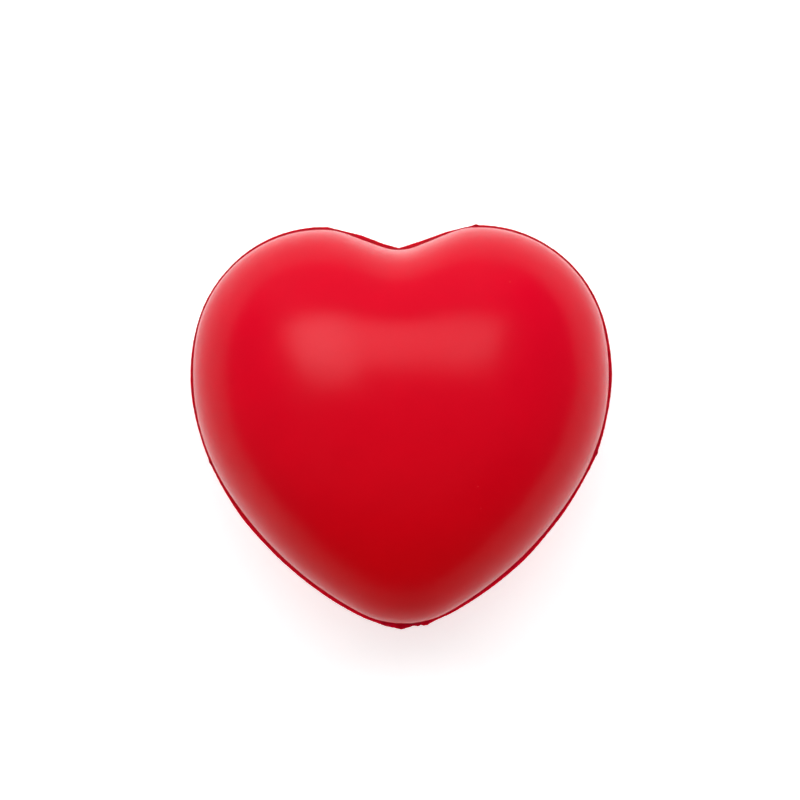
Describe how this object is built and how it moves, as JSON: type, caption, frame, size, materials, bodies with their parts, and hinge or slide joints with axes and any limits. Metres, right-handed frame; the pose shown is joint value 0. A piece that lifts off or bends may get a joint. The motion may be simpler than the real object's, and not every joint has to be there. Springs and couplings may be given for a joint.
{
  "type": "stress ball",
  "caption": "Heart-shaped squeeze-foam stress ball: soft core, dense skins, satin red coat and trimmed parting-line flash.",
  "frame": {"origin": "centre of the underside of the box round the ball, on the plane that it rests on", "axes": "+Z out of the front face, with the ball lying on its back; +Y towards the notch between the lobes; +X towards the right lobe as seen from the front"},
  "size_m": [0.0718, 0.0692, 0.0495],
  "materials": {
    "red_coat": "satin",
    "foam_skin": "matte",
    "foam_cells": "matte",
    "coated_flash": "satin"
  },
  "bodies": {
    "rear": {"rear_coat": "red_coat", "rear_skin": "foam_skin", "foam_core": "foam_cells"},
    "rim": {"parting_flash": "coated_flash", "gate_stub": "coated_flash", "vent_nibs": "coated_flash"},
    "front": {"front_coat": "red_coat", "front_skin": "foam_skin"}
  },
  "joints": [
    {"name": "front_press", "type": "slide", "parent": "rear", "child": "front", "axis": [0, 0, -1], "range_m": [0, 0.02], "stiffness_N_per_m": 1800, "deforming": ["front_coat", "front_skin", "rear_coat", "rear_skin", "foam_core"]},
    {"name": "rim_sink", "type": "slide", "parent": "rear", "child": "rim", "axis": [0, 0, -1], "range_m": [0, 0.01]}
  ],
  "couplings": [
    {"joint": "rim_sink", "follows": "front_press", "ratio": 0.5}
  ]
}
